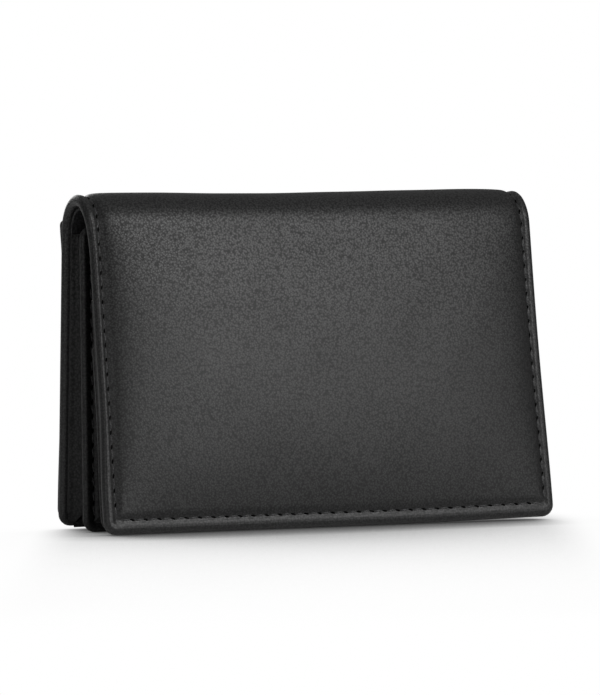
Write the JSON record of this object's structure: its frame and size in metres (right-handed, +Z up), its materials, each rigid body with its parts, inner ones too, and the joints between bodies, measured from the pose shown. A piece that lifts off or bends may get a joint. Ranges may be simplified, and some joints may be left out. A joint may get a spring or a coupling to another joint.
{
  "type": "card_wallet",
  "caption": "Black smooth leather card wallet: padded fold-over flap, gusseted card pocket on the back, card slots inside the flap and a slip pocket outside",
  "frame": {"origin": "middle of the bounding box at the level of the surface that the wallet stands on", "axes": "+X along the fold, +Y from the flap to the back, +Z up"},
  "size_m": [0.102, 0.0298, 0.07],
  "materials": {
    "cover_leather": "smooth black nappa with a soft sheen",
    "pocket_leather": "smooth black leather",
    "gusset_leather": "thin supple black leather",
    "lining_leather": "thin matt black leather",
    "lining_cloth": "fine black woven lining",
    "stiffener_board": "plain fibre board",
    "padding_foam": "thin soft foam"
  },
  "bodies": {
    "back": {"cover_back": "cover_leather", "back_board": "stiffener_board", "back_lining": "lining_leather", "slip_pocket_leather": "cover_leather", "slip_pocket_lining": "lining_cloth"},
    "spine_rear": {"cover_spine_rear": "cover_leather", "interlining_spine_rear": "lining_cloth", "lining_spine_rear": "lining_leather"},
    "spine_front": {"cover_spine_front": "cover_leather", "interlining_spine_front": "lining_cloth", "lining_spine_front": "lining_leather"},
    "flap": {"cover_flap": "cover_leather", "flap_padding": "padding_foam", "flap_board": "stiffener_board", "flap_lining": "lining_leather", "card_slot_upper": "pocket_leather", "card_slot_lower": "pocket_leather"},
    "pocket_front": {"pocket_front_leather": "pocket_leather", "pocket_front_board": "stiffener_board", "pocket_front_lining": "lining_cloth"},
    "leaf_left_rear": {"gusset_left_rear": "gusset_leather"},
    "leaf_left_front": {"gusset_left_front": "gusset_leather"},
    "leaf_right_rear": {"gusset_right_rear": "gusset_leather"},
    "leaf_right_front": {"gusset_right_front": "gusset_leather"},
    "leaf_base_rear": {"gusset_base_rear": "gusset_leather"},
    "leaf_base_front": {"gusset_base_front": "gusset_leather"}
  },
  "joints": [
    {"name": "rear_fold", "type": "hinge", "parent": "back", "child": "spine_rear", "pos_m": [0, 0.00817, 0.06624], "axis": [-1, 0, 0], "range_deg": [-2.1, 56.1]},
    {"name": "crown_fold", "type": "hinge", "parent": "spine_rear", "child": "spine_front", "pos_m": [0, 0.00164, 0.07], "axis": [-1, 0, 0], "range_deg": [-2.1, 56.1]},
    {"name": "flap_fold", "type": "hinge", "parent": "spine_front", "child": "flap", "pos_m": [0, -0.00511, 0.06667], "axis": [-1, 0, 0], "range_deg": [-2.1, 56.1]},
    {"name": "pocket_spread", "type": "hinge", "parent": "back", "child": "pocket_front", "pos_m": [0, 0.0024, 0.10745], "axis": [-1, 0, 0], "range_deg": [-2.27, 0]},
    {"name": "leaf_left_rear_fold", "type": "hinge", "parent": "back", "child": "leaf_left_rear", "pos_m": [-0.0485, 0.00548, 0.06228], "axis": [0, 0.068, -0.9977], "range_deg": [-35, 0]},
    {"name": "leaf_right_rear_fold", "type": "hinge", "parent": "back", "child": "leaf_right_rear", "pos_m": [0.0485, 0.00548, 0.06228], "axis": [0, -0.068, 0.9977], "range_deg": [-35, 0]},
    {"name": "leaf_base_rear_fold", "type": "hinge", "parent": "back", "child": "leaf_base_rear", "pos_m": [0, 0.00962, 0.0015], "axis": [1, 0, 0], "range_deg": [-35, 0]},
    {"name": "leaf_left_front_fold", "type": "hinge", "parent": "pocket_front", "child": "leaf_left_front", "pos_m": [-0.0485, 0.0024, 0], "axis": [0, 0, 1], "range_deg": [-35, 0]},
    {"name": "leaf_right_front_fold", "type": "hinge", "parent": "pocket_front", "child": "leaf_right_front", "pos_m": [0.0485, 0.0024, 0], "axis": [0, 0, -1], "range_deg": [-35, 0]},
    {"name": "leaf_base_front_fold", "type": "hinge", "parent": "pocket_front", "child": "leaf_base_front", "pos_m": [0, 0.0024, 0.00126], "axis": [-1, 0, 0], "range_deg": [-35, 0]}
  ],
  "couplings": [
    {"joint": "crown_fold", "follows": "rear_fold", "ratio": 1},
    {"joint": "flap_fold", "follows": "rear_fold", "ratio": 1},
    {"joint": "leaf_left_rear_fold", "follows": "pocket_spread", "ratio": 15.41},
    {"joint": "leaf_right_rear_fold", "follows": "pocket_spread", "ratio": 15.41},
    {"joint": "leaf_base_rear_fold", "follows": "pocket_spread", "ratio": 15.41},
    {"joint": "leaf_left_front_fold", "follows": "pocket_spread", "ratio": 15.41},
    {"joint": "leaf_right_front_fold", "follows": "pocket_spread", "ratio": 15.41},
    {"joint": "leaf_base_front_fold", "follows": "pocket_spread", "ratio": 15.41}
  ]
}
